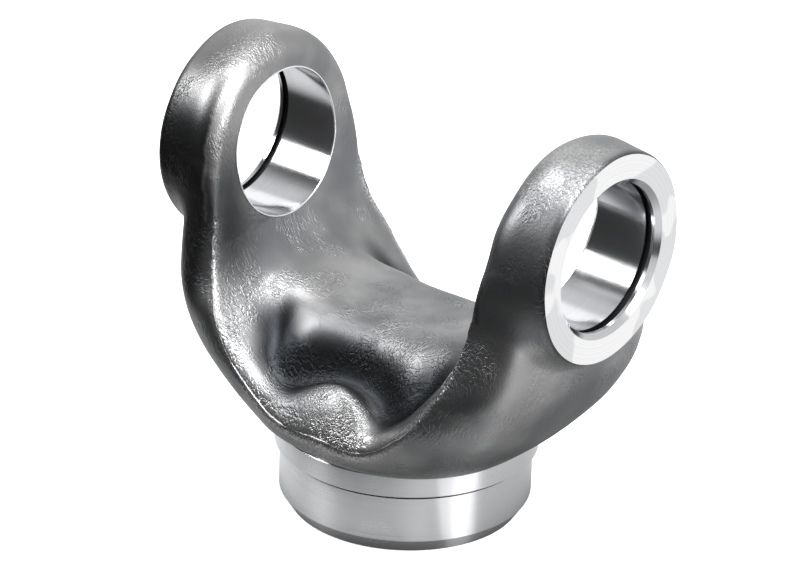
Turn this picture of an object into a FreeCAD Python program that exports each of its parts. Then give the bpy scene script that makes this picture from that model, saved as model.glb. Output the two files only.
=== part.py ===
import FreeCAD
import Part
import math
import os
from FreeCAD import Vector

# Forged tube yoke of a truck driveshaft: two ears that carry the bearing cups of a cross,
# a deep saddle between them, and a turned hub that is pressed and welded into the shaft tube.
# Millimetres. Origin at the middle of the hub's end face, Z up the shaft axis, X along the cup bores.

# Cup bores and ears
bore_diameter = 47.0
bore_height = 106.0             # cup axis above the hub's end face
across_ears = 150.0             # over the two machined ear faces
ear_gap = 102.0                 # between the ears' inner faces, at the cup axis
gap_draft = 5.0                 # degrees that each inner face leans outwards
ear_face_radius = 33.3          # machined ring on the outer face
ear_inner_radius = 35.0         # the ear's barrel widens towards the gap, as its draft asks
ear_round = 8.5                 # rolled edge on the inner side of the ear
arm_recess = 7.8                # arm's outer side stands back from the machined face
lead_chamfer = 1.6
inner_chamfer = 0.9

# Snap ring grooves
groove_offset = 2.7             # from the machined face to the near side of the groove
groove_width = 2.3
groove_depth = 1.3

# Forged body
arm_half_width = 36.0
body_half_width = 46.5
body_bottom = 27.0
shoulder_height = 62.0          # where the belly's curve runs up into the straight arms
arm_flare = 4.0                 # what the arm is wider just above the shoulder
arm_flare_height = 12.0         # above the shoulder
arm_straight_height = 24.0      # above the shoulder
arm_narrowing = 4.0             # twice: where the arm ends inside the ear's boss
ear_blend_depth = 9.0           # below the cup axis, where that narrowing starts
flare_squareness = 7.5
arm_squareness = 10.0
outline_points = 36

# Belly outlines from the bottom up: share of the belly's height, share of the arms' length,
# share of the body's half width, and squareness (2 is an oval, more is a soft rectangle)
belly_outlines = [
    (0.00, 0.60, 0.86, 2.2),
    (0.13, 0.69, 0.95, 2.4),
    (0.35, 0.81, 0.99, 2.8),
    (0.65, 0.925, 1.00, 3.6),
    (1.00, 0.99, 0.97, 4.8),
]

# Saddle: one U-shaped bed that stays level in the middle and falls away to both rims
saddle_height = 66.6
saddle_reach = 10.0             # half width of the level part
saddle_bend_top = 90.0          # height where the bend runs out into the ear's inner face
saddle_fullness = 2.7           # exponent of the U: 2 is an oval, more is fuller in the corners
rim_height = 36.8
rim_reach = 45.0                # distance of the pocket's rim from the middle plane
rim_fullness = 2.0
fall_exponent = 1.8             # how late the bed starts to fall towards the rim
bed_steps = 12                  # points on half of a U
bed_stations = 14               # sections from the level part to beyond the rim
punch_overrun = 7.5             # what the punch stands out over the body's sides

# Side pockets, pressed into the falling bed: a trough runs round a dome, open towards the rim,
# with a deeper pit beside it under each arm
pocket_depth = 9.0
pocket_centre_reach = 39.0      # distance of the dome from the middle plane
trough_length = 20.0            # from the dome's centre to the trough's middle, along X
trough_width = 10.5             # the same towards the saddle
trough_spread = 0.5             # half width of the trough as a share of that way
rim_share = 0.5                 # share of the depth that the trough loses towards the rim
rim_run_in = 3.0                # distance before the dome's centre where that loss starts
rim_run_out = 8.0               # distance past the dome's centre where it ends
pit_depth = 5.5
pit_offset = 27.0
pit_reach = 28.5
pit_half_size = 6.0

# Dome inside the trough
dome_rise = 5.0
dome_half_length = 12.0
dome_half_width = 8.5
dome_flatness = 1.4             # 1 is a bell, more is a flatter top with steeper flanks

# Turned hub
pilot_diameter = 79.0
pilot_length = 20.8
shoulder_diameter = 82.8
shoulder_top = 30.0
lead_taper_length = 4.9
lead_taper_depth = 3.2
step_chamfer = 0.5
dish_diameter = 54.0
dish_depth = 3.5
dish_draft = 4.0                # the recess narrows by this much on each side

cut_overrun = 1.0               # what a boring tool stands out past the metal

bore_radius = bore_diameter / 2
face_x = across_ears / 2
arm_x = face_x - arm_recess
lean = math.tan(math.radians(gap_draft))


def inner_face_x(height):
    return ear_gap / 2 + lean * (height - bore_height)


def mirrored(shape, normal):
    return shape.mirror(Vector(0, 0, 0), normal)


def face_from(edges):
    return Part.Face(Part.Wire(edges))


def line(start, end):
    return Part.LineSegment(start, end).toShape()


def arc(start, middle, end):
    return Part.Arc(start, middle, end).toShape()


def on_circle(centre, radius, degrees, across, up):
    turn = math.radians(degrees)
    return centre + across * (radius * math.cos(turn)) + up * (radius * math.sin(turn))


def plan_outline(height, half_length, half_width, squareness):
    """Closed outline at one height: a full oval where squareness is 2, a soft rectangle above."""
    points = []
    for step in range(outline_points):
        turn = 2 * math.pi * (step + 0.5) / outline_points
        c, s = math.cos(turn), math.sin(turn)
        swell = (abs(c) ** squareness + abs(s) ** squareness) ** (-1 / squareness)
        points.append(Vector(half_length * c * swell, half_width * s * swell, height))
    curve = Part.BSplineCurve()
    curve.interpolate(Points=points, PeriodicFlag=True, Parameters=range(outline_points + 1))
    return Part.Wire(curve.toShape())


def forged_blank():
    """Solid of the belly and arms, lofted up through its plan outlines."""
    belly_height = shoulder_height - body_bottom
    sections = [
        plan_outline(body_bottom + up * belly_height, along * arm_x, across * body_half_width, square)
        for up, along, across, square in belly_outlines
    ]
    arm_outlines = [
        (shoulder_height + arm_flare_height, arm_half_width + arm_flare, flare_squareness),
        (shoulder_height + arm_straight_height, arm_half_width, arm_squareness),
        (bore_height - ear_blend_depth, arm_half_width - arm_narrowing, arm_squareness),
        (bore_height, arm_half_width - 2 * arm_narrowing, arm_squareness),
    ]
    for height, half_width, square in arm_outlines:
        sections.append(plan_outline(height, arm_x, half_width, square))
    return Part.makeLoft(sections, True, False)


def smooth_step(value):
    t = min(max(value, 0.0), 1.0)
    return t * t * (3 - 2 * t)


def bell(x, half_length, y=0, half_width=1, flatness=1):
    """One at its centre, fading out over the half length in X and the half width in Y."""
    return math.exp(-((x / half_length) ** 2 + (y / half_width) ** 2) ** flatness)


def pocket_relief(x, y):
    """Height that the pocket takes from the bed, or that its dome adds to it."""
    across = abs(x)
    away = abs(y)
    past = away - pocket_centre_reach
    ring = math.hypot(across / trough_length, min(past, 0.0) / trough_width)
    loss = rim_share * smooth_step((past + rim_run_in) / (rim_run_in + rim_run_out))
    trough = pocket_depth * bell(ring - 1, trough_spread) * (1 - loss)
    pit = pit_depth * bell(across - pit_offset, pit_half_size, away - pit_reach, pit_half_size)
    dome = dome_rise * bell(x, dome_half_length, past, dome_half_width, dome_flatness)
    return dome - trough - pit


def bed_floor(y):
    """Height of the bed at its middle: level over the saddle, then falling to the rim."""
    fall = max((abs(y) - saddle_reach) / (rim_reach - saddle_reach), 0.0)
    return saddle_height - (saddle_height - rim_height) * fall ** fall_exponent


def bed_point(turn, y):
    """Point of the punch's bed: turn runs from -90 to 90 degrees round the U."""
    run_out = smooth_step((abs(y) - saddle_reach) / (rim_reach - saddle_reach))
    fullness = saddle_fullness + (rim_fullness - saddle_fullness) * run_out
    s, c = math.sin(turn), math.cos(turn)
    swell = (abs(s) ** fullness + abs(c) ** fullness) ** (-1 / fullness)
    x = inner_face_x(saddle_bend_top) * s * swell
    depth = (saddle_bend_top - bed_floor(y)) * c * swell
    return Vector(x, y, saddle_bend_top - depth + pocket_relief(x, y))


def punch_section(y):
    """One cross-section of the punch that forms the saddle, the pockets and the inner faces."""
    step = math.pi / 2 / bed_steps
    points = [bed_point(step * n, y) for n in range(-bed_steps, bed_steps + 1)]
    run = step * (saddle_bend_top - bed_floor(y))
    bed = Part.BSplineCurve()
    bed.interpolate(
        Points=points,
        Parameters=range(len(points)),
        InitialTangent=Vector(lean, 0, -1) * run,
        FinalTangent=Vector(lean, 0, 1) * run,
        Scale=False,
    )
    top_z = bore_height + 2 * ear_inner_radius
    top_x = inner_face_x(top_z)
    right_top = Vector(top_x, y, top_z)
    left_top = Vector(-top_x, y, top_z)
    return Part.Wire([
        bed.toShape(),
        line(points[-1], right_top),
        line(right_top, left_top),
        line(left_top, points[0]),
    ])


def punch():
    """The die punch: one smooth bed with the relief of both side pockets."""
    half_length = body_half_width + punch_overrun
    run = (half_length - saddle_reach) / bed_stations
    half = [0.0] + [saddle_reach + run * n for n in range(bed_stations + 1)]
    stations = [-y for y in reversed(half[1:])] + half
    return Part.makeLoft([punch_section(y) for y in stations], True, False)


def ear_boss():
    """Round boss of one ear, turned about the cup axis: rolled on its inner side, drafted outwards."""
    across, up = Vector(1, 0, 0), Vector(0, 0, 1)
    axis = Vector(0, 0, bore_height)
    roll_x = inner_face_x(bore_height) + ear_round
    root_x = inner_face_x(bore_height - 2 * ear_inner_radius)
    roll_centre = axis + across * roll_x + up * (ear_inner_radius - ear_round)
    crown = on_circle(roll_centre, ear_round, 90, across, up)
    side = on_circle(roll_centre, ear_round, 180, across, up)
    roll_mid = on_circle(roll_centre, ear_round, 135, across, up)
    root = Vector(root_x, 0, side.z)
    root_centre = axis + across * root_x
    rim = axis + across * face_x + up * ear_face_radius
    face_centre = axis + across * face_x
    section = face_from([
        line(root_centre, root),
        line(root, side),
        arc(side, roll_mid, crown),
        line(crown, rim),
        line(rim, face_centre),
        line(face_centre, root_centre),
    ])
    return section.revolve(axis, across, 360)


def hub():
    """Turned hub: lead-in taper, pilot, shoulder band and the dished end."""
    pilot = pilot_diameter / 2
    shoulder = shoulder_diameter / 2
    up = Vector(0, 0, 1)
    corners = [
        (0, 0),
        (pilot - lead_taper_depth, 0),
        (pilot, lead_taper_length),
        (pilot, pilot_length),
        (shoulder - step_chamfer, pilot_length),
        (shoulder, pilot_length + step_chamfer),
        (shoulder, shoulder_top),
        (0, shoulder_top),
    ]
    points = [Vector(x, 0, z) for x, z in corners]
    edges = [line(a, b) for a, b in zip(points, points[1:] + points[:1])]
    body = face_from(edges).revolve(Vector(0, 0, 0), up, 360)
    dish = dish_diameter / 2
    recess = Part.makeCone(dish, dish - dish_draft, dish_depth)
    return body.cut(recess)


def bore_cutter():
    """Both cup bores with their chamfers and snap ring grooves."""
    axis = Vector(0, 0, bore_height)
    along = Vector(1, 0, 0)
    length = across_ears + 2 * cut_overrun
    tool = Part.makeCylinder(bore_radius, length, axis - along * (length / 2), along)
    for side in (-1, 1):
        out = along * side
        face = axis + out * face_x
        lead = Part.makeCone(bore_radius + lead_chamfer, bore_radius, lead_chamfer, face, -out)
        start = face - out * groove_offset
        ring = Part.makeCylinder(bore_radius + groove_depth, groove_width, start, -out)
        reach = inner_chamfer + lean * bore_radius
        gap_side = axis + out * (inner_face_x(bore_height) - lean * bore_radius)
        deburr = Part.makeCone(bore_radius + reach, bore_radius, reach, gap_side, out)
        tool = tool.fuse([lead, ring, deburr])
    return tool


def yoke():
    body = forged_blank()
    bosses = ear_boss()
    body = body.fuse([bosses, mirrored(bosses, Vector(1, 0, 0))])
    return body.cut(punch()).fuse(hub()).cut(bore_cutter()).removeSplitter()


if __name__ == "__main__":
    os.makedirs("parts", exist_ok=True)
    shape = yoke()
    shape.exportStep("parts/forged_yoke.step")
    print("solids", len(shape.Solids), "valid", shape.isValid(), "volume", round(shape.Volume))
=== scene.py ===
import math

import bmesh
import bpy
import numpy as np
from mathutils import Matrix, Vector


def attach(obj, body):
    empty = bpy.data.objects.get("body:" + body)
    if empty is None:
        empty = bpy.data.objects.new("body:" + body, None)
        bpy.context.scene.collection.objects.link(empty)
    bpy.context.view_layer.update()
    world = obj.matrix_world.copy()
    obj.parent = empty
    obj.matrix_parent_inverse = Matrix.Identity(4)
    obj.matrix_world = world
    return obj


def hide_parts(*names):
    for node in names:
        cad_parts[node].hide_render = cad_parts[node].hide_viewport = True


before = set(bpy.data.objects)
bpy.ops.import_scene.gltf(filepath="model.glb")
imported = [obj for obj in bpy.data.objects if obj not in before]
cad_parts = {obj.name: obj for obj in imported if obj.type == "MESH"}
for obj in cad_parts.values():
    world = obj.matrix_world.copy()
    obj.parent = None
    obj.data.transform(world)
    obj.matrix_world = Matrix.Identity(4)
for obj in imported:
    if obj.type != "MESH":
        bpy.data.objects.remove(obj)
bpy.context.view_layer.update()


# Forging
# One steel drop forging: belly, two arms and two ears round a deep saddle, with a side pocket front
# and back. Its skin is the rolled, shot-blasted surface that the dies leave. It is worked out as a
# field of distances and then meshed where they are zero.
MM = 0.001
cup_axis_height = 106.0
gap_at_axis = 51.0
gap_lean = math.tan(math.radians(5.0))
bend_top = 90.0
ear_face_radius = 33.3
ear_draft = 0.11
ear_side = 75.8
arm_side = 67.2
boss_start = 46.0
body_half_width = 46.5
belly_bottom = 27.0
shoulder = 62.0
saddle_height = 66.6
saddle_flat = 10.0
saddle_run = 35.0
saddle_fall = 29.8
pocket_depth = 8.2
trough_length = 20.0
trough_width = 10.5
trough_reach = 39.0
trough_spread = 0.5
pit_depth = 5.2
pit_offset = 29.5
pit_reach = 28.0
pit_half_size = 7.2
dome_rise = 4.1
dome_reach = 40.0
dome_half_length = 12.0
dome_half_width = 8.3
lip_depth = 0.9
lip_reach = 45.0
bed_steepness = 0.72
rim_roll = 2.4
ear_roll_extra = 7.8
skin_low = (-78.0, -49.0, 20.0)
skin_high = (78.0, 49.0, 143.0)
skin_step = 1.0


def smooth_step(value, start, end):
    """Rises from 0 at the start to 1 at the end, level at both."""
    t = np.clip((value - start) / (end - start), 0.0, 1.0)
    return t * t * (3.0 - 2.0 * t)


def soft_max(a, b, radius):
    """The larger of two distances, with the corner between them rounded off."""
    h = np.clip(0.5 + 0.5 * (a - b) / radius, 0.0, 1.0)
    return b + (a - b) * h + radius * h * (1.0 - h)


def soft_min(a, b, radius):
    """The smaller of two distances, with the corner between them filled."""
    return -soft_max(-a, -b, radius)


def eased(value, stops, levels):
    """A smooth curve through a few stops, level beyond its ends, with no overshoot."""
    stops = np.asarray(stops, float)
    levels = np.asarray(levels, float)
    widths = np.diff(stops)
    rises = np.diff(levels) / widths
    slopes = np.zeros(len(stops))
    for i in range(1, len(stops) - 1):
        if rises[i - 1] * rises[i] > 0:
            before, after = 2 * widths[i] + widths[i - 1], widths[i] + 2 * widths[i - 1]
            slopes[i] = (before + after) / (before / rises[i - 1] + after / rises[i])
    slopes[0], slopes[-1] = rises[0], rises[-1]
    value = np.clip(value, stops[0], stops[-1])
    k = np.clip(np.searchsorted(stops, value, side="right") - 1, 0, len(stops) - 2)
    t = (value - stops[k]) / widths[k]
    curve = (2 * t ** 3 - 3 * t ** 2 + 1) * levels[k] + (t ** 3 - 2 * t ** 2 + t) * widths[k] * slopes[k]
    return curve + (3 * t ** 2 - 2 * t ** 3) * levels[k + 1] + (t ** 3 - t ** 2) * widths[k] * slopes[k + 1]


def belly_and_arms(x, y, z):
    """Distance outside the body that the two dies leave between them, without its ears.

    At each height its section has a half length along x, a half width along y and a squareness."""
    belly = shoulder - belly_bottom
    heights = [belly_bottom, belly_bottom + 0.13 * belly, belly_bottom + 0.35 * belly,
               belly_bottom + 0.65 * belly, shoulder, shoulder + 12, shoulder + 24, 97.0, cup_axis_height]
    length = eased(z, heights, arm_side * np.array([0.60, 0.69, 0.81, 0.925, 0.99, 1, 1, 1, 1]))
    belly_widths = [body_half_width * share for share in (0.86, 0.95, 0.99, 1, 0.97)]
    width = eased(z, heights, belly_widths + [40.0, 36.5, 35.0, 34.0])
    square = eased(z, heights, [2.2, 2.4, 2.8, 3.6, 4.8, 7.5, 10.0, 10.0, 10.0])
    ratio = (np.abs(x / length) ** square + np.abs(y / width) ** square) ** (1.0 / square)
    side = (ratio - 1.0) * np.minimum(length, width)
    below = belly_bottom - z
    above = z - cup_axis_height
    return soft_max(soft_max(side, below, 3.0), above, 2.0)


def bed_height(x, y):
    """Height of the punch's bed: level on the saddle, falling to the rims, with troughs, pits and domes."""
    away = np.abs(y)
    fall = np.clip((away - saddle_flat) / saddle_run, 0.0, 1.3)
    floor = saddle_height - saddle_fall * fall ** 1.8
    bend = 2.7 - 0.7 * smooth_step(away, saddle_flat, saddle_flat + saddle_run)
    reach = gap_at_axis + gap_lean * (bend_top - cup_axis_height)
    across = np.clip(np.abs(x) / reach, 0, 0.99999)
    bed = bend_top - (bend_top - floor) * (1.0 - across ** bend) ** (1.0 / bend)
    behind = np.maximum(trough_reach - away, 0.0) / trough_width
    ring = np.sqrt(behind ** 2 + (x / trough_length) ** 2)
    hollow = pocket_depth * np.exp(-(((ring - 1.0) / trough_spread) ** 2))
    hollow *= 1 - 0.75 * smooth_step(away, 33.0, 43.0)
    hollow += lip_depth * np.exp(-((x / trough_length) ** 4 + ((away - lip_reach) / 3.2) ** 2))
    pits = pit_depth * np.exp(-(((np.abs(x) - pit_offset) / pit_half_size) ** 2
                                + ((away - pit_reach) / pit_half_size) ** 2))
    dome = dome_rise * np.exp(-((x / dome_half_length) ** 2
                                + ((away - dome_reach) / dome_half_width) ** 2) ** 1.1)
    return bed - hollow - pits + dome


def punch(x, y, z):
    """Distance inside the punch that shapes the gap, the saddle and the pockets."""
    face = gap_at_axis + gap_lean * (z - cup_axis_height)
    wall = face - np.abs(x)
    rise = (z - bed_height(x, y)) * bed_steepness
    return np.where(z > bend_top, wall, np.minimum(wall * 2.0, rise))


def ear_bosses(x, y, z):
    """Distance outside the round bosses, without their inner faces."""
    from_axis = np.sqrt(y ** 2 + (z - cup_axis_height) ** 2)
    barrel = from_axis - (ear_face_radius + ear_draft * (ear_side - np.abs(x)))
    return soft_max(barrel, np.abs(x) - ear_side, 3.0)


def outer_form(x, y, z):
    """Distance outside the body and the bosses, before the punch."""
    bosses = soft_max(ear_bosses(x, y, z), boss_start - np.abs(x), 1.0)
    return soft_min(belly_and_arms(x, y, z), bosses, 4.0)


def waviness(x, y, z):
    """Shallow unevenness that hammering and blasting leave on the skin."""
    first = np.sin(x / 4.3 + 1.3 * np.sin(z / 9.7)) * np.sin(y / 5.1 + 0.7 + 0.9 * np.sin(x / 11.0))
    second = np.sin(z / 3.9 + y / 7.7) * np.sin(x / 6.3 + 2.1 + 0.8 * np.sin(y / 8.9))
    return 0.10 * first + 0.08 * second


def forging(points):
    """Field of the whole forging, in millimetres: negative in the steel, and about a distance near it."""
    x, y, z = points
    roll = rim_roll + ear_roll_extra * smooth_step(z, bend_top, 114.0)
    return soft_max(outer_form(x, y, z), punch(x, y, z), roll) + waviness(x, y, z)


def skin(field, low, high, step):
    """Meshes the zero level of a field: one vertex in each crossed cell, one quad per crossed edge."""
    counts = [int(math.ceil((b - a) / step)) + 1 for a, b in zip(low, high)]
    axes = [a + step * np.arange(n) for a, n in zip(low, counts)]
    grid = np.meshgrid(*axes, indexing="ij")
    value = field(grid)
    del grid
    inside = value < 0
    cells = tuple(n - 1 for n in counts)
    total = np.zeros(cells + (3,))
    crossings = np.zeros(cells)
    corner = [(i, j, k) for i in (0, 1) for j in (0, 1) for k in (0, 1)]

    def at(offset, array):
        return array[tuple(slice(o, o + c) for o, c in zip(offset, cells))]

    for first in corner:
        for axis in range(3):
            if first[axis]:
                continue
            second = tuple(o + (n == axis) for n, o in enumerate(first))
            a, b = at(first, value), at(second, value)
            crossed = at(first, inside) != at(second, inside)
            share = np.where(crossed, a / np.where(crossed, a - b, 1.0), 0.0)
            for n in range(3):
                total[..., n] += crossed * (first[n] + (share if n == axis else 0.0))
            crossings += crossed
    used = crossings > 0
    number = np.full(cells, -1)
    number[used] = np.arange(used.sum())
    index = np.argwhere(used)
    places = (index + total[used] / crossings[used][:, None]) * step + np.array(low)
    quads = []
    for axis in range(3):
        u, v = (axis + 1) % 3, (axis + 2) % 3
        ahead = [slice(None)] * 3
        behind = [slice(None)] * 3
        ahead[axis], behind[axis] = slice(1, None), slice(None, -1)
        start, end = inside[tuple(behind)], inside[tuple(ahead)]
        for flip, mask in ((False, start & ~end), (True, end & ~start)):
            spot = np.argwhere(mask)
            spot = spot[(spot[:, u] > 0) & (spot[:, v] > 0)]
            ring = []
            for du, dv in ((1, 1), (0, 1), (0, 0), (1, 0)):
                cell = spot.copy()
                cell[:, u] -= du
                cell[:, v] -= dv
                ring.append(number[tuple(cell.T)])
            if flip:
                ring.reverse()
            quads.append(np.stack(ring, axis=1))
    return places, np.concatenate(quads)


def settled(places, field, passes=3):
    """Moves skin vertices along the field's slope until they lie on its zero level."""
    small = 0.05
    longest_move = 0.6
    for _ in range(passes):
        p = places.T
        value = field(p)
        slope = np.zeros_like(places)
        for n in range(3):
            ahead, behind = p.copy(), p.copy()
            ahead[n] += small
            behind[n] -= small
            slope[:, n] = (field(ahead) - field(behind)) / (2 * small)
        steep = np.maximum((slope ** 2).sum(axis=1), 0.05)
        move = slope * (value / steep)[:, None]
        too_long = np.maximum(np.linalg.norm(move, axis=1) / longest_move, 1.0)
        places = places - move / too_long[:, None]
    return places


def mesh_from(name, places, faces):
    """Mesh in metres from places in millimetres."""
    mesh = bpy.data.meshes.new(name)
    mesh.from_pydata([tuple(p) for p in (places * MM)], [], [tuple(f) for f in faces.tolist()])
    mesh.validate()
    mesh.update()
    return mesh


def add(tree, kind, place, **settings):
    """A new node at its place in the editor, with its settings."""
    node = tree.nodes.new(kind)
    node.location = place
    for name, value in settings.items():
        setattr(node, name, value)
    return node


def math_node(tree, operation, first, second, place, clamp=False):
    """One sum: each side is a number or the socket that it comes from."""
    node = add(tree, "ShaderNodeMath", place, operation=operation, use_clamp=clamp)
    for slot, value in enumerate((first, second)):
        if isinstance(value, (int, float)):
            node.inputs[slot].default_value = value
        else:
            tree.links.new(value, node.inputs[slot])
    return node.outputs[0]


def ramp(tree, value, levels, place, smooth=True):
    """Maps a value from the range (a, b) to (c, d)."""
    node = add(tree, "ShaderNodeMapRange", place, interpolation_type="SMOOTHSTEP" if smooth else "LINEAR")
    for name, level in zip(("From Min", "From Max", "To Min", "To Max"), levels):
        node.inputs[name].default_value = level
    tree.links.new(value, node.inputs["Value"])
    return node.outputs["Result"]


def noise(tree, vector, scale, detail, rough, place):
    """Cloudy pattern, whose scale is a number or a socket."""
    node = add(tree, "ShaderNodeTexNoise", place)
    node.inputs["Detail"].default_value = detail
    node.inputs["Roughness"].default_value = rough
    if isinstance(scale, (int, float)):
        node.inputs["Scale"].default_value = scale
    else:
        tree.links.new(scale, node.inputs["Scale"])
    tree.links.new(vector, node.inputs["Vector"])
    return node


def group(name, inputs, outputs):
    """Empty shader group with named sockets and its input and output nodes."""
    tree = bpy.data.node_groups.new(name, "ShaderNodeTree")
    for label, kind, value in inputs:
        socket = tree.interface.new_socket(label, in_out="INPUT", socket_type=kind)
        if value is not None:
            socket.default_value = value
    for label, kind in outputs:
        tree.interface.new_socket(label, in_out="OUTPUT", socket_type=kind)
    return tree, add(tree, "NodeGroupInput", (-1800, 0)), add(tree, "NodeGroupOutput", (1400, 0))


def forge_scale_group():
    """Blasted forging skin: broad tone patches, leathery die wrinkles, fine grain and rubbed edges,
    near-black scale with painted shade where Hollow is set, and painted highlights where Edge is set.
    """
    tree, given, result = group("forge scale", [
        ("Position", "NodeSocketVector", None),
        ("Dark", "NodeSocketColor", (0.195, 0.20, 0.21, 1)),
        ("Pale", "NodeSocketColor", (0.35, 0.35, 0.35, 1)),
        ("Patch Scale", "NodeSocketFloat", 26.0),
        ("Wrinkle Scale", "NodeSocketFloat", 420.0),
        ("Wrinkle Depth", "NodeSocketFloat", 0.00010),
        ("Grain Scale", "NodeSocketFloat", 1500.0),
        ("Grain Depth", "NodeSocketFloat", 0.00003),
        ("Hollow", "NodeSocketFloat", 0.0),
        ("Edge", "NodeSocketFloat", 0.0),
    ], [("Color", "NodeSocketColor"), ("Roughness", "NodeSocketFloat"), ("Normal", "NodeSocketVector")])
    position = given.outputs["Position"]

    drift = noise(tree, position, 28.0, 2.0, 0.5, (-1500, -300))
    shifted = add(tree, "ShaderNodeVectorMath", (-1300, -300), operation="MULTIPLY_ADD")
    tree.links.new(drift.outputs["Color"], shifted.inputs[0])
    shifted.inputs[1].default_value = (0.02, 0.02, 0.02)
    tree.links.new(position, shifted.inputs[2])
    stretched = add(tree, "ShaderNodeVectorMath", (-1100, -300), operation="MULTIPLY")
    tree.links.new(shifted.outputs[0], stretched.inputs[0])
    stretched.inputs[1].default_value = (1.0, 1.7, 0.55)
    wrinkles = noise(tree, stretched.outputs[0], given.outputs["Wrinkle Scale"], 2.0, 0.6, (-900, -300))
    from_middle = math_node(tree, "SUBTRACT", wrinkles.outputs["Fac"], 0.5, (-800, -300))
    from_middle = math_node(tree, "ABSOLUTE", from_middle, 0.0, (-700, -300))
    grain = noise(tree, position, given.outputs["Grain Scale"], 1.0, 0.5, (-900, -600))

    patches = noise(tree, position, given.outputs["Patch Scale"], 3.0, 0.55, (-1300, 300))
    worn = noise(tree, position, 75.0, 2.0, 0.5, (-1300, 600))
    patch = ramp(tree, patches.outputs["Fac"], (0.36, 0.64, 0.0, 1.0), (-1000, 300))
    wrinkled = ramp(tree, worn.outputs["Fac"], (0.40, 0.60, 0.12, 1.0), (-1000, 600))

    lines = ramp(tree, from_middle, (0.0, 0.10, 0.0, 1.0), (-600, -300), smooth=False)
    depth = math_node(tree, "MULTIPLY", lines, wrinkled, (-400, -300))
    depth = math_node(tree, "MULTIPLY", depth, given.outputs["Wrinkle Depth"], (-200, -300))
    fine = math_node(tree, "MULTIPLY", grain.outputs["Fac"], given.outputs["Grain Depth"], (-200, -600))
    height = math_node(tree, "ADD", depth, fine, (0, -400))
    bump = add(tree, "ShaderNodeBump", (300, -400))
    bump.inputs["Strength"].default_value = 1.0
    bump.inputs["Distance"].default_value = 1.0
    tree.links.new(height, bump.inputs["Height"])
    tree.links.new(bump.outputs["Normal"], result.inputs["Normal"])

    tone = add(tree, "ShaderNodeMix", (-400, 300), data_type="RGBA")
    tree.links.new(patch, tone.inputs["Factor"])
    tree.links.new(given.outputs["Dark"], tone.inputs["A"])
    tree.links.new(given.outputs["Pale"], tone.inputs["B"])
    # Painted shade: near black where Hollow is set, partly the scale that stays in the troughs.
    scale_and_painted_shade = add(tree, "ShaderNodeMix", (-100, 300), data_type="RGBA")
    scale_and_painted_shade.inputs["B"].default_value = (0.024, 0.026, 0.029, 1)
    tree.links.new(given.outputs["Hollow"], scale_and_painted_shade.inputs["Factor"])
    tree.links.new(tone.outputs["Result"], scale_and_painted_shade.inputs["A"])
    # Rubbed bright flecks on the rims, and painted highlights on the domes and the right ear's crown, where
    # Edge is set.
    rubbed = add(tree, "ShaderNodeMix", (200, 300), data_type="RGBA")
    rubbed.inputs["B"].default_value = (0.78, 0.78, 0.78, 1)
    flecks = ramp(tree, grain.outputs["Fac"], (0.42, 0.56, 0.15, 1.0), (-600, 0))
    rub = math_node(tree, "MULTIPLY", given.outputs["Edge"], flecks, (-100, 0), clamp=True)
    tree.links.new(rub, rubbed.inputs["Factor"])
    tree.links.new(scale_and_painted_shade.outputs["Result"], rubbed.inputs["A"])
    tree.links.new(rubbed.outputs["Result"], result.inputs["Color"])

    rough = ramp(tree, patches.outputs["Fac"], (0.3, 0.7, 0.44, 0.37), (-400, 700), smooth=False)
    polish = math_node(tree, "MULTIPLY", rub, 0.12, (-100, 500))
    rough = math_node(tree, "SUBTRACT", rough, polish, (200, 700))
    tree.links.new(rough, result.inputs["Roughness"])
    return tree


def forged_material():
    """Blasted steel, darker where scale stays and where shade is painted, brighter where it is rubbed and
    where highlights are painted.
    """
    material = bpy.data.materials.new("forged_skin")
    material.use_nodes = True
    tree = material.node_tree
    shader = tree.nodes["Principled BSDF"]
    shader.inputs["Metallic"].default_value = 1.0
    skin_look = add(tree, "ShaderNodeGroup", (-400, 0), node_tree=forge_scale_group())
    place = add(tree, "ShaderNodeTexCoord", (-800, 0))
    tree.links.new(place.outputs["Object"], skin_look.inputs["Position"])
    for row, name in enumerate(("Hollow", "Edge")):
        mask = add(tree, "ShaderNodeAttribute", (-800, -300 - 200 * row), attribute_name=name.lower())
        tree.links.new(mask.outputs["Fac"], skin_look.inputs[name])
    tree.links.new(skin_look.outputs["Color"], shader.inputs["Base Color"])
    tree.links.new(skin_look.outputs["Roughness"], shader.inputs["Roughness"])
    tree.links.new(skin_look.outputs["Normal"], shader.inputs["Normal"])
    return material


places, quads = skin(forging, skin_low, skin_high, skin_step)
places = settled(places, forging)
yoke_mesh = mesh_from("forged_yoke_looks", places, quads)
yoke = bpy.data.objects.new("forged_yoke_looks", yoke_mesh)
bpy.context.scene.collection.objects.link(yoke)
yoke_mesh.materials.append(forged_material())


# Machined surfaces
# Both ears are faced and their cup bores are bored in one setting, then grooved for the outer snap rings.
# The hub is turned between centres. All of them are bare bright steel; as painted shade, the bores are
# coloured darker than the faces and the grooves and the hub's undercut near black.
bore_radius = 23.5
face_x = 75.0
lead_chamfer = 1.6
groove_near = 2.7
groove_width = 2.3
groove_radius = bore_radius + 1.3
ring_cut_depth = 6.0
past_ear = 60.0
pilot_radius = 39.5
end_bevel = 3.2
end_bevel_height = 4.9
recess_radius = 23.0
recess_depth = 3.5
recess_chamfer = 4.0
undercut_depth = 0.5
shoulder_start = 20.8
shoulder_radius = 41.4
shoulder_bevel = 0.5
shoulder_end = 27.8
round_steps = 160


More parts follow.
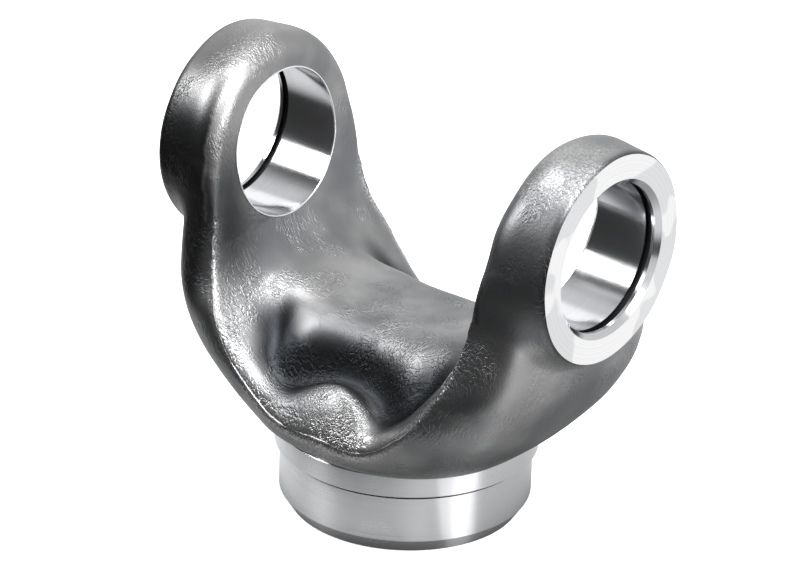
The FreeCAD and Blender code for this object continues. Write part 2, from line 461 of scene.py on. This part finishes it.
def turned(name, profile, axis, centre):
    """Closed solid turned from a profile of (place along the axis, radius) points."""
    bm = bmesh.new()
    rings = []
    x_way, y_way, z_way = Vector((1, 0, 0)), Vector((0, 1, 0)), Vector((0, 0, 1))
    along, across, up = (x_way, y_way, z_way) if axis == "X" else (z_way, x_way, y_way)
    for place, radius in profile:
        if radius == 0:
            rings.append([bm.verts.new((Vector(centre) + along * place) * MM)])
            continue
        ring = []
        for step in range(round_steps):
            turn = 2 * math.pi * step / round_steps
            point = Vector(centre) + along * place + (across * math.cos(turn) + up * math.sin(turn)) * radius
            ring.append(bm.verts.new(point * MM))
        rings.append(ring)
    for ring, following in zip(rings, rings[1:]):
        for step in range(round_steps):
            after = (step + 1) % round_steps
            if len(ring) == 1:
                bm.faces.new((ring[0], following[after], following[step]))
            elif len(following) == 1:
                bm.faces.new((ring[step], ring[after], following[0]))
            else:
                bm.faces.new((ring[step], ring[after], following[after], following[step]))
    bmesh.ops.recalc_face_normals(bm, faces=bm.faces)
    mesh = bpy.data.meshes.new(name)
    bm.to_mesh(mesh)
    bm.free()
    tool = bpy.data.objects.new(name, mesh)
    bpy.context.scene.collection.objects.link(tool)
    return tool


def machine(work, tool, operation):
    """Cuts or joins one tool and keeps the result as a plain mesh."""
    modifier = work.modifiers.new("machining", "BOOLEAN")
    modifier.operation = operation
    modifier.solver = "EXACT"
    modifier.object = tool
    modifier.material_mode = "TRANSFER"
    depsgraph = bpy.context.evaluated_depsgraph_get()
    made = bpy.data.meshes.new_from_object(work.evaluated_get(depsgraph))
    work.modifiers.remove(modifier)
    old = work.data
    work.data = made
    bpy.data.meshes.remove(old)
    spent = tool.data
    bpy.data.objects.remove(tool)
    bpy.data.meshes.remove(spent)


def turning_group():
    """Marks of a cutting tool: rings of slightly different tone and depth round one axis."""
    tree, given, result = group("turning marks", [
        ("Along", "NodeSocketFloat", 0.0),
        ("Radius", "NodeSocketFloat", 0.0),
        ("Position", "NodeSocketVector", None),
        ("Ring Scale", "NodeSocketFloat", 1600.0),
        ("Depth", "NodeSocketFloat", 0.000006),
        ("Bright", "NodeSocketColor", (0.9, 0.9, 0.9, 1)),
        ("Dull", "NodeSocketColor", (0.6, 0.6, 0.6, 1)),
        ("Stain", "NodeSocketFloat", 0.15),
    ], [("Color", "NodeSocketColor"), ("Roughness", "NodeSocketFloat"), ("Normal", "NodeSocketVector")])
    rings = add(tree, "ShaderNodeCombineXYZ", (-1400, 0))
    tree.links.new(given.outputs["Along"], rings.inputs["X"])
    tree.links.new(given.outputs["Radius"], rings.inputs["Y"])
    marks = noise(tree, rings.outputs[0], given.outputs["Ring Scale"], 3.0, 0.6, (-1100, 0))
    stains = noise(tree, given.outputs["Position"], 42.0, 2.0, 0.5, (-1100, 400))
    blots = ramp(tree, stains.outputs["Fac"], (0.51, 0.54, 0.0, 1.0), (-800, 400))
    stain = math_node(tree, "MULTIPLY", blots, given.outputs["Stain"], (-650, 400))
    streak = ramp(tree, marks.outputs["Fac"], (0.25, 0.75, 0.0, 0.30), (-800, 0), smooth=False)
    dull = math_node(tree, "ADD", stain, streak, (-500, 200), clamp=True)
    tone = add(tree, "ShaderNodeMix", (-200, 200), data_type="RGBA")
    tree.links.new(dull, tone.inputs["Factor"])
    tree.links.new(given.outputs["Bright"], tone.inputs["A"])
    tree.links.new(given.outputs["Dull"], tone.inputs["B"])
    tree.links.new(tone.outputs["Result"], result.inputs["Color"])
    rough = ramp(tree, dull, (0.0, 0.6, 0.0, 0.08), (-200, 500), smooth=False)
    tree.links.new(rough, result.inputs["Roughness"])
    bump = add(tree, "ShaderNodeBump", (0, -200))
    bump.inputs["Strength"].default_value = 1.0
    bump.inputs["Distance"].default_value = 1.0
    height = math_node(tree, "MULTIPLY", marks.outputs["Fac"], given.outputs["Depth"], (-300, -200))
    tree.links.new(height, bump.inputs["Height"])
    tree.links.new(bump.outputs["Normal"], result.inputs["Normal"])
    return tree


def turned_material(name, marks, axis, centre, rough, anisotropy, bright, dull, depth, stain):
    """Bare steel cut on a lathe or boring mill: highlights stretch across the tool marks."""
    material = bpy.data.materials.new(name)
    material.use_nodes = True
    tree = material.node_tree
    shader = tree.nodes["Principled BSDF"]
    shader.inputs["Metallic"].default_value = 1.0
    shader.inputs["Anisotropic"].default_value = anisotropy
    place = add(tree, "ShaderNodeTexCoord", (-1800, 0))
    from_centre = add(tree, "ShaderNodeVectorMath", (-1600, 0), operation="SUBTRACT")
    tree.links.new(place.outputs["Object"], from_centre.inputs[0])
    from_centre.inputs[1].default_value = centre
    along = add(tree, "ShaderNodeVectorMath", (-1400, 200), operation="DOT_PRODUCT")
    tree.links.new(from_centre.outputs[0], along.inputs[0])
    along.inputs[1].default_value = axis
    cut = add(tree, "ShaderNodeVectorMath", (-1400, -100), operation="CROSS_PRODUCT")
    cut.inputs[0].default_value = axis
    tree.links.new(from_centre.outputs[0], cut.inputs[1])
    radius = add(tree, "ShaderNodeVectorMath", (-1200, 0), operation="LENGTH")
    tree.links.new(cut.outputs[0], radius.inputs[0])
    surface = add(tree, "ShaderNodeNewGeometry", (-1400, -400))
    across = add(tree, "ShaderNodeVectorMath", (-1200, -300), operation="CROSS_PRODUCT")
    tree.links.new(cut.outputs[0], across.inputs[0])
    tree.links.new(surface.outputs["Normal"], across.inputs[1])
    stretch = add(tree, "ShaderNodeVectorMath", (-1000, -300), operation="NORMALIZE")
    tree.links.new(across.outputs[0], stretch.inputs[0])
    tree.links.new(stretch.outputs[0], shader.inputs["Tangent"])
    look = add(tree, "ShaderNodeGroup", (-700, 0), node_tree=marks)
    look.inputs["Depth"].default_value = depth
    look.inputs["Bright"].default_value = (*bright, 1)
    look.inputs["Dull"].default_value = (*dull, 1)
    look.inputs["Stain"].default_value = stain
    tree.links.new(along.outputs["Value"], look.inputs["Along"])
    tree.links.new(radius.outputs["Value"], look.inputs["Radius"])
    tree.links.new(place.outputs["Object"], look.inputs["Position"])
    tree.links.new(look.outputs["Color"], shader.inputs["Base Color"])
    roughness = math_node(tree, "ADD", look.outputs["Roughness"], rough, (-400, -200))
    tree.links.new(roughness, shader.inputs["Roughness"])
    tree.links.new(look.outputs["Normal"], shader.inputs["Normal"])
    return material


def plain_material(name, colour, rough):
    """Bare metal of one colour, for the thin lines and the grooves."""
    material = bpy.data.materials.new(name)
    material.use_nodes = True
    shader = material.node_tree.nodes["Principled BSDF"]
    shader.inputs["Base Color"].default_value = (*colour, 1)
    shader.inputs["Metallic"].default_value = 1.0
    shader.inputs["Roughness"].default_value = rough
    return material


marks = turning_group()
cup_axis_point = (0, 0, cup_axis_height * MM)
faced_material = turned_material(
    "faced_steel", marks, axis=(1, 0, 0), centre=cup_axis_point, rough=0.17, anisotropy=0.5,
    bright=(0.97, 0.97, 0.97), dull=(0.60, 0.61, 0.63), depth=0.000004, stain=0.45)
# The bores are the same steel as the faces; their colours are painted darker, as painted shade inside the
# bores.
bored_material_painted_darker = turned_material(
    "bored_steel_painted_darker", marks, axis=(1, 0, 0), centre=cup_axis_point, rough=0.15, anisotropy=0.4,
    bright=(0.64, 0.65, 0.67), dull=(0.48, 0.49, 0.51), depth=0.000004, stain=0.12)
hub_material = turned_material(
    "turned_hub", marks, axis=(0, 0, 1), centre=(0, 0, 0), rough=0.26, anisotropy=0.98,
    bright=(0.90, 0.91, 0.93), dull=(0.74, 0.75, 0.77), depth=0.000002, stain=0.08)
# Painted shade: the snap ring grooves and the hub's undercut are coloured near black where they lie in
# shade.
groove_painted_shade_material = plain_material("groove_painted_shade", (0.05, 0.05, 0.055), 0.45)
for side in (-1, 1):
    groove_start = face_x - groove_near - groove_width
    profile = [
        (side * boss_start, 0), (side * boss_start, bore_radius),
        (side * groove_start, bore_radius), (side * groove_start, groove_radius),
        (side * (face_x - groove_near), groove_radius), (side * (face_x - groove_near), bore_radius),
        (side * (face_x - lead_chamfer), bore_radius), (side * face_x, bore_radius + lead_chamfer),
        (side * face_x, past_ear), (side * (face_x + ring_cut_depth), past_ear),
        (side * (face_x + ring_cut_depth), 0),
    ]
    cutter = turned("boring_tool", profile, "X", (0, 0, cup_axis_height))
    for material in (faced_material, groove_painted_shade_material, bored_material_painted_darker):
        cutter.data.materials.append(material)
    for face in cutter.data.polygons:
        band = abs(face.center.x) / MM
        deep = Vector((0, face.center.y, face.center.z - cup_axis_height * MM)).length / MM
        if groove_start - 0.1 < band < face_x - groove_near + 0.1 and deep > bore_radius + 0.2:
            face.material_index = 1
        elif band < face_x - 0.1:
            face.material_index = 2
    machine(yoke, cutter, "DIFFERENCE")

hub_profile = [
    (recess_depth, 0), (recess_depth, recess_radius), (0, recess_radius + recess_chamfer),
    (0, pilot_radius - end_bevel), (end_bevel_height, pilot_radius),
    (shoulder_start - 1.2, pilot_radius), (shoulder_start - 1.0, pilot_radius - undercut_depth),
    (shoulder_start, pilot_radius - undercut_depth), (shoulder_start, shoulder_radius - shoulder_bevel),
    (shoulder_start + shoulder_bevel, shoulder_radius), (shoulder_end, shoulder_radius),
    (shoulder_end + 2.2, shoulder_radius - 1.5), (shoulder_end + 6.2, 0),
]
hub = turned("hub", hub_profile, "Z", (0, 0, 0))
for material in (hub_material, groove_painted_shade_material):
    hub.data.materials.append(material)
for face in hub.data.polygons:
    # The undercut gets the grooves' painted shade.
    in_undercut = shoulder_start - 1.3 < face.center.z / MM < shoulder_start + 0.1
    face.material_index = 1 if in_undercut else 0
machine(yoke, hub, "UNION")


def soft_spot(x, y, z, centre, size):
    """1 at its centre, fading out over its size along each axis."""
    return np.exp(-sum(((at - middle) / reach) ** 2 for at, middle, reach in zip((x, y, z), centre, size)))


def rolled_rims(x, y, z):
    """1 where the bed rolls over into the outer side, fading out up the arms."""
    return np.exp(-((outer_form(x, y, z) - punch(x, y, z)) / 2.2) ** 2) * (1 - smooth_step(z, 78.0, 96.0))


def rubbed_rims_and_painted_highlights(x, y, z):
    """How bright the skin is coloured: the rims rubbed bright by handling, and painted highlights on the
    domes and the right ear's crown.
    """
    # Painted highlights on the domes and on the right ear's crown; the rims are rubbed bright.
    domes = np.exp(-(((x / 10.0) ** 2 + ((np.abs(y) - dome_reach) / 6.0) ** 2) ** 1.5)) * (z < 60)
    crown = soft_spot(x, y, z, (64.0, -13.0, 136.0), (12.0, 12.0, 9.0))
    return rolled_rims(x, y, z) + (0.26 * domes + 0.40 * crown)


def painted_shade_and_scale(x, y, z):
    """How dark the skin is coloured: dark scale that stays, together with painted shade, in the troughs and
    pits; painted shade low on the belly, on the ears' inner faces, the left arm's front and the left ear's
    crown; and a thin dark line beside the faced rings.
    """
    away = np.abs(y)
    behind = np.maximum(trough_reach - away, 0.0) / (trough_width + 1.0)
    ring = np.sqrt(behind ** 2 + (x / trough_length) ** 2)
    # Troughs and pits: partly the dark scale that stays, partly painted shade.
    troughs = np.exp(-(((ring - 1.15) / 0.45) ** 4)) * (1 - smooth_step(away, 34.0, 42.0))
    pits = np.exp(-((((np.abs(x) - 30.0) / 7.5) ** 2 + ((away - 27.0) / 7.5) ** 2) ** 2))
    on_bed = (z > 34) & (np.abs(z - bed_height(x, y)) < 4)
    depth = punch(x, y, z)
    # Painted shade on the front of both ears' inner faces.
    ear_insides = np.exp(-(((y + 28.0) / 11.0) ** 2 + ((z - 92.0) / 22.0) ** 4))
    ear_insides *= (np.abs(x) > 40) & (depth > -3)
    # Painted shade low on the belly, off the rims.
    belly = (1 - smooth_step(z, 36.0, 52.0)) * (outer_form(x, y, z) > -1.0)
    belly *= 1 - np.clip(rolled_rims(x, y, z) * 1.5, 0, 1)
    # The left arm's front: partly dark scale, partly painted shade.
    arm_front = smooth_step(-x, 48.0, 56.0) * smooth_step(-y, 10.0, 24.0) * (depth < -4)
    arm_front *= smooth_step(z, 50.0, 66.0) * (1 - smooth_step(z, 118.0, 132.0))
    # A thin dark line beside the faced rings.
    beside_rings = np.exp(-((face_x - np.abs(x)) ** 2))
    # Painted shade on the left ear's crown.
    crown = soft_spot(x, y, z, (-66.0, -14.0, 135.0), (9.0, 18.0, 12.0))
    on_arms = 0.85 * ear_insides + 0.84 * arm_front + 0.8 * beside_rings + 0.28 * crown
    return (troughs + pits) * on_bed + 0.40 * belly + on_arms


place = np.empty(len(yoke.data.vertices) * 3)
yoke.data.vertices.foreach_get("co", place)
x, y, z = place.reshape(-1, 3).T / MM
# hollow carries the dark scale and the painted shade, edge the rubbed rims and the painted highlights.
for name, values in (("hollow", painted_shade_and_scale(x, y, z)), ("edge", rubbed_rims_and_painted_highlights(x, y, z))):
    mask = yoke.data.attributes.new(name, "FLOAT", "POINT")
    mask.data.foreach_set("value", np.clip(values, 0, 1).astype(np.float32))
yoke.data.shade_smooth()
yoke.data.set_sharp_from_angle(angle=math.radians(32))
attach(yoke, "root")
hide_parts("forged_yoke")


# Flash line and deburred edges
# Where the dies met, the trimming press leaves a thin torn ridge of the forging's own steel along both
# pocket rims and up the arms, rubbed bright and uneven. The inner mouth of each bore is deburred, which
# leaves an even bright line.
def rim_path(side, steps):
    """Crest of the rolled edge from one ear to the other, a little under where bed and side would meet."""
    turn_height = 96.0
    sunk = 0.6
    first_reach, first_y = 56.0, 40.0
    turn = np.radians(np.linspace(-84.0, 84.0, steps))
    reach = np.full(steps, first_reach)
    y = np.full(steps, first_y)

    def misses(reach, y):
        x, z = reach * np.sin(turn), turn_height - reach * np.cos(turn)
        return outer_form(x, side * y, z) + sunk, punch(x, side * y, z) + sunk

    for _ in range(60):
        a, b = misses(reach, y)
        small = 0.01
        a_r, b_r = [(q - p) / small for p, q in zip((a, b), misses(reach + small, y))]
        a_y, b_y = [(q - p) / small for p, q in zip((a, b), misses(reach, y + small))]
        bottom = a_r * b_y - a_y * b_r
        bottom = np.where(np.abs(bottom) < 0.05, 0.05 * np.sign(bottom + 1e-9), bottom)
        step_r = (a * b_y - b * a_y) / bottom
        step_y = (b * a_r - a * b_r) / bottom
        reach = reach - np.clip(step_r, -1.5, 1.5)
        y = y - np.clip(step_y, -1.5, 1.5)
    a, b = misses(reach, y)
    good = (np.abs(a) < 0.05) & (np.abs(b) < 0.05)
    return np.stack((reach * np.sin(turn), side * y, turn_height - reach * np.cos(turn)), axis=1)[good]


def flash_tree(material):
    """Sweeps a small round section along the given path, moved and scaled by noise."""
    tree = bpy.data.node_groups.new("flash line", "GeometryNodeTree")
    tree.interface.new_socket("Geometry", in_out="INPUT", socket_type="NodeSocketGeometry")
    for label, value in (("Width", 0.0005), ("Wander", 0.0006), ("Tear Scale", 330.0), ("Spacing", 0.0004),
                         ("Torn", 1.0)):
        socket = tree.interface.new_socket(label, in_out="INPUT", socket_type="NodeSocketFloat")
        socket.default_value = value
    tree.interface.new_socket("Geometry", in_out="OUTPUT", socket_type="NodeSocketGeometry")
    given, result = add(tree, "NodeGroupInput", (-1200, 0)), add(tree, "NodeGroupOutput", (1400, 0))
    curve = add(tree, "GeometryNodeMeshToCurve", (-900, 0))
    tree.links.new(given.outputs["Geometry"], curve.inputs["Mesh"])
    resampled = add(tree, "GeometryNodeResampleCurve", (-700, 0), mode="LENGTH")
    tree.links.new(curve.outputs[0], resampled.inputs["Curve"])
    tree.links.new(given.outputs["Spacing"], resampled.inputs["Length"])
    where = add(tree, "GeometryNodeInputPosition", (-900, -400))
    tear = noise(tree, where.outputs[0], given.outputs["Tear Scale"], 3.0, 0.6, (-700, -400))
    centred = add(tree, "ShaderNodeVectorMath", (-500, -400), operation="SUBTRACT")
    tree.links.new(tear.outputs["Color"], centred.inputs[0])
    centred.inputs[1].default_value = (0.5, 0.5, 0.5)
    offset = add(tree, "ShaderNodeVectorMath", (-300, -400), operation="SCALE")
    tree.links.new(centred.outputs[0], offset.inputs[0])
    tree.links.new(given.outputs["Wander"], offset.inputs["Scale"])
    moved = add(tree, "GeometryNodeSetPosition", (-100, 0))
    tree.links.new(resampled.outputs[0], moved.inputs["Geometry"])
    tree.links.new(offset.outputs[0], moved.inputs["Offset"])
    breaks = noise(tree, where.outputs[0], 120.0, 2.0, 0.5, (-700, -700))
    size = ramp(tree, breaks.outputs["Fac"], (0.40, 0.62, 0.10, 1.0), (-500, -700))
    split = add(tree, "ShaderNodeSeparateXYZ", (-700, -1000))
    tree.links.new(where.outputs[0], split.inputs[0])
    fade = ramp(tree, split.outputs["Z"], (0.066, 0.090, 1.0, 0.2), (-500, -1000))
    torn = math_node(tree, "MULTIPLY", size, fade, (-300, -800))
    whole_share = math_node(tree, "SUBTRACT", 1.0, given.outputs["Torn"], (-300, -1000))
    torn = math_node(tree, "MULTIPLY", torn, given.outputs["Torn"], (-150, -800))
    size = math_node(tree, "ADD", torn, whole_share, (0, -800))
    ring = add(tree, "GeometryNodeCurvePrimitiveCircle", (200, -300), mode="RADIUS")
    ring.inputs["Resolution"].default_value = 6
    tree.links.new(given.outputs["Width"], ring.inputs["Radius"])
    sweep = add(tree, "GeometryNodeCurveToMesh", (500, 0))
    tree.links.new(moved.outputs[0], sweep.inputs["Curve"])
    tree.links.new(ring.outputs[0], sweep.inputs["Profile Curve"])
    tree.links.new(size, sweep.inputs["Scale"])
    sweep.inputs["Fill Caps"].default_value = True
    whole = add(tree, "GeometryNodeRealizeInstances", (800, 0))
    tree.links.new(sweep.outputs[0], whole.inputs[0])
    paint = add(tree, "GeometryNodeSetMaterial", (1100, 0))
    paint.inputs["Material"].default_value = material
    tree.links.new(whole.outputs[0], paint.inputs["Geometry"])
    tree.links.new(paint.outputs[0], result.inputs["Geometry"])
    return tree


def bore_mouth(side, steps):
    """Line where the bore breaks out through the ear's inner face."""
    turn = np.radians(np.linspace(0.0, 360.0, steps + 1)[:-1])
    y = (bore_radius + 0.1) * np.cos(turn)
    z = cup_axis_height + (bore_radius + 0.1) * np.sin(turn)
    in_gap, in_metal = np.full(steps, 44.0), np.full(steps, 60.0)
    for _ in range(24):
        middle = (in_gap + in_metal) / 2
        metal = forging((side * middle, y, z)) < 0
        in_gap, in_metal = np.where(metal, in_gap, middle), np.where(metal, middle, in_metal)
    return np.stack((side * in_metal, y, z), axis=1)


flash_nodes = flash_tree(plain_material("rubbed_flash", (0.50, 0.50, 0.51), 0.40))
flash_sizes = {"Width": 0.00045, "Wander": 0.0006, "Spacing": 0.0004, "Torn": 1.0}
edge_nodes = flash_tree(plain_material("deburred_edge", (0.9, 0.9, 0.9), 0.25))
edge_sizes = {"Width": 0.00032, "Wander": 0.00008, "Spacing": 0.0008, "Torn": 0.0}
trails = [("flash_front", rim_path(-1, 160), False, flash_nodes, flash_sizes),
          ("flash_back", rim_path(1, 160), False, flash_nodes, flash_sizes),
          ("bore_edge_left", bore_mouth(-1, 180), True, edge_nodes, edge_sizes),
          ("bore_edge_right", bore_mouth(1, 180), True, edge_nodes, edge_sizes)]
for name, path, closed, nodes, sizes in trails:
    mesh = bpy.data.meshes.new("path")
    edges = [(n, n + 1) for n in range(len(path) - 1)] + ([(len(path) - 1, 0)] if closed else [])
    mesh.from_pydata([tuple(p) for p in path * MM], edges, [])
    ridge = bpy.data.objects.new(name, mesh)
    bpy.context.scene.collection.objects.link(ridge)
    modifier = ridge.modifiers.new("flash line", "NODES")
    modifier.node_group = nodes
    for item in nodes.interface.items_tree:
        if item.item_type == "SOCKET" and item.in_out == "INPUT" and item.name in sizes:
            modifier[item.identifier] = sizes[item.name]
    depsgraph = bpy.context.evaluated_depsgraph_get()
    made = bpy.data.meshes.new_from_object(ridge.evaluated_get(depsgraph))
    ridge.modifiers.remove(modifier)
    ridge.data = made
    bpy.data.meshes.remove(mesh)
    made.shade_smooth()
    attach(ridge, "root")
    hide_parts("forged_yoke")


# Studio
# A plain white sweep that keeps the yoke's soft shadow, and five soft boxes round it. The room is
# bright behind the yoke and dark on the camera's side, so that the steel shows both.
def camera_from_photo():
    """Long lens in front of the yoke, to the right and a little above it."""
    azimuth, elevation, roll = math.radians(37.88), math.radians(25.87), math.radians(1.97)
    distance = 1.596
    aim_height = 0.0712
    image_width, image_height = 800, 579
    focal_pixels = 5184.8
    axis_across, axis_down = 411.5, 290.8
    back = Vector((math.sin(azimuth) * math.cos(elevation),
                   -math.cos(azimuth) * math.cos(elevation), math.sin(elevation)))
    right = Vector((math.cos(azimuth), math.sin(azimuth), 0))
    up = back.cross(right)
    level_right, level_up = right, up
    right = level_right * math.cos(roll) + level_up * math.sin(roll)
    up = level_up * math.cos(roll) - level_right * math.sin(roll)
    data = bpy.data.cameras.new("camera")
    data.sensor_width = 36.0
    data.lens = focal_pixels / image_width * data.sensor_width
    data.shift_x = -(axis_across - image_width / 2) / image_width
    data.shift_y = (axis_down - image_height / 2) / image_width
    data.clip_end = 20
    cam = bpy.data.objects.new("camera", data)
    cam.matrix_world = Matrix.Translation(back * distance + Vector((0, 0, aim_height))) @ Matrix(
        (right, up, back)).transposed().to_4x4()
    bpy.context.scene.collection.objects.link(cam)
    bpy.context.scene.camera = cam


camera_from_photo()
bpy.context.scene.view_settings.view_transform = "Standard"

floor_mesh = bpy.data.meshes.new("floor")
floor_mesh.from_pydata([(-4, -4, 0), (4, -4, 0), (4, 4, 0), (-4, 4, 0)], [], [(0, 1, 2, 3)])
floor = bpy.data.objects.new("floor", floor_mesh)
bpy.context.scene.collection.objects.link(floor)

# To glossy rays the floor glows as a painted reflection of a pale sweep: it falls off towards the camera,
# has painted shade near the hub and to its right, and one painted white card, whose straight edges the hub
# shows.
floor_material = bpy.data.materials.new("floor")
floor_material.use_nodes = True
tree = floor_material.node_tree
tree.nodes.clear()
out = add(tree, "ShaderNodeOutputMaterial", (900, 0))
path = add(tree, "ShaderNodeLightPath", (-600, 300))
coordinates = add(tree, "ShaderNodeTexCoord", (-1200, -200))
toward = add(tree, "ShaderNodeVectorMath", (-1000, -200), operation="DOT_PRODUCT")
toward.inputs[1].default_value = (-0.2, -0.98, 0)
tree.links.new(coordinates.outputs["Object"], toward.inputs[0])
fall = ramp(tree, toward.outputs["Value"], (0.038, 0.118, 1.0, 0.05), (-800, -200))
away = add(tree, "ShaderNodeVectorMath", (-1000, -500), operation="LENGTH")
tree.links.new(coordinates.outputs["Object"], away.inputs[0])
shade = ramp(tree, away.outputs["Value"], (0.036, 0.060, 0.12, 0.88), (-800, -500))
far = ramp(tree, away.outputs["Value"], (0.068, 0.20, 1.0, 1.12), (-800, -700))
shade = math_node(tree, "MULTIPLY", shade, far, (-650, -500))
behind = add(tree, "ShaderNodeVectorMath", (-1000, -900), operation="DISTANCE")
tree.links.new(coordinates.outputs["Object"], behind.inputs[0])
behind.inputs[1].default_value = (0.08, 0.03, 0)
dim = ramp(tree, behind.outputs["Value"], (0.03, 0.13, 0.40, 1.0), (-800, -900))
shade = math_node(tree, "MULTIPLY", shade, dim, (-650, -700))
split = add(tree, "ShaderNodeSeparateXYZ", (-1000, -1200))
tree.links.new(coordinates.outputs["Object"], split.inputs[0])
turn = math_node(tree, "ARCTAN2", split.outputs["Y"], split.outputs["X"], (-800, -1200))
card = ramp(tree, turn, (-0.54, -0.51, 1.0, 2.0), (-650, -1200), smooth=False)
past_card = ramp(tree, turn, (-0.31, -0.28, 0.0, 0.75), (-650, -1400), smooth=False)
card = math_node(tree, "SUBTRACT", card, past_card, (-500, -1200))
shade = math_node(tree, "MULTIPLY", shade, card, (-500, -700), clamp=True)
reflected = math_node(tree, "MULTIPLY", fall, shade, (-350, -300))
pale = add(tree, "ShaderNodeBsdfDiffuse", (0, 200))
pale.inputs["Color"].default_value = (0.9, 0.9, 0.9, 1)
lift = add(tree, "ShaderNodeEmission", (0, 0))
lift.inputs["Strength"].default_value = 0.62
seen = add(tree, "ShaderNodeAddShader", (200, 100))
tree.links.new(pale.outputs[0], seen.inputs[0])
tree.links.new(lift.outputs[0], seen.inputs[1])
shown = add(tree, "ShaderNodeMixShader", (400, 100))
tree.links.new(path.outputs["Is Camera Ray"], shown.inputs[0])
tree.links.new(pale.outputs[0], shown.inputs[1])
tree.links.new(seen.outputs[0], shown.inputs[2])
mirrored = add(tree, "ShaderNodeEmission", (200, -200))
tree.links.new(reflected, mirrored.inputs["Strength"])
both = add(tree, "ShaderNodeMixShader", (600, 0))
tree.links.new(path.outputs["Is Glossy Ray"], both.inputs[0])
tree.links.new(shown.outputs[0], both.inputs[1])
tree.links.new(mirrored.outputs[0], both.inputs[2])
tree.links.new(both.outputs[0], out.inputs["Surface"])
floor.data.materials.append(floor_material)

world = bpy.data.worlds.new("world")
world.use_nodes = True
tree = world.node_tree
tree.nodes.clear()
out = add(tree, "ShaderNodeOutputWorld", (900, 0))
path = add(tree, "ShaderNodeLightPath", (-600, 300))
coordinates = add(tree, "ShaderNodeTexCoord", (-1200, -200))
toward = add(tree, "ShaderNodeVectorMath", (-1000, -200), operation="DOT_PRODUCT")
toward.inputs[1].default_value = (-0.5, -0.85, 0)
tree.links.new(coordinates.outputs["Generated"], toward.inputs[0])
fall = ramp(tree, toward.outputs["Value"], (0.05, 0.55, 1.1, 0.07), (-800, -200))
room = add(tree, "ShaderNodeBackground", (0, -200))
tree.links.new(fall, room.inputs["Strength"])
white = add(tree, "ShaderNodeBackground", (0, 0))
both = add(tree, "ShaderNodeMixShader", (600, 0))
white.inputs["Color"].default_value = (1, 1, 1, 1)
tree.links.new(path.outputs["Is Camera Ray"], both.inputs[0])
tree.links.new(room.outputs[0], both.inputs[1])
tree.links.new(white.outputs[0], both.inputs[2])
tree.links.new(both.outputs[0], out.inputs["Surface"])
bpy.context.scene.world = world


def lamp(name, place, size, power):
    """Soft box that faces the middle of the yoke."""
    aim = Vector((0, 0, 0.08))
    data = bpy.data.lights.new(name, "AREA")
    data.shape = "RECTANGLE"
    data.size, data.size_y = size
    data.energy = power
    item = bpy.data.objects.new(name, data)
    item.location = place
    item.rotation_euler = (aim - Vector(place)).to_track_quat("-Z", "Y").to_euler()
    bpy.context.scene.collection.objects.link(item)


lamp("key", (-0.62, -0.54, 0.70), (0.40, 0.40), 5.0)
lamp("top left", (-0.20, -0.20, 1.12), (0.34, 0.34), 3.2)
lamp("back", (-0.50, 0.70, 0.66), (0.50, 0.50), 0.5)
lamp("top right", (0.46, -0.22, 1.02), (0.40, 0.40), 10.0)
lamp("strip", (1.00, 0.00, 0.44), (0.36, 0.86), 6.5)
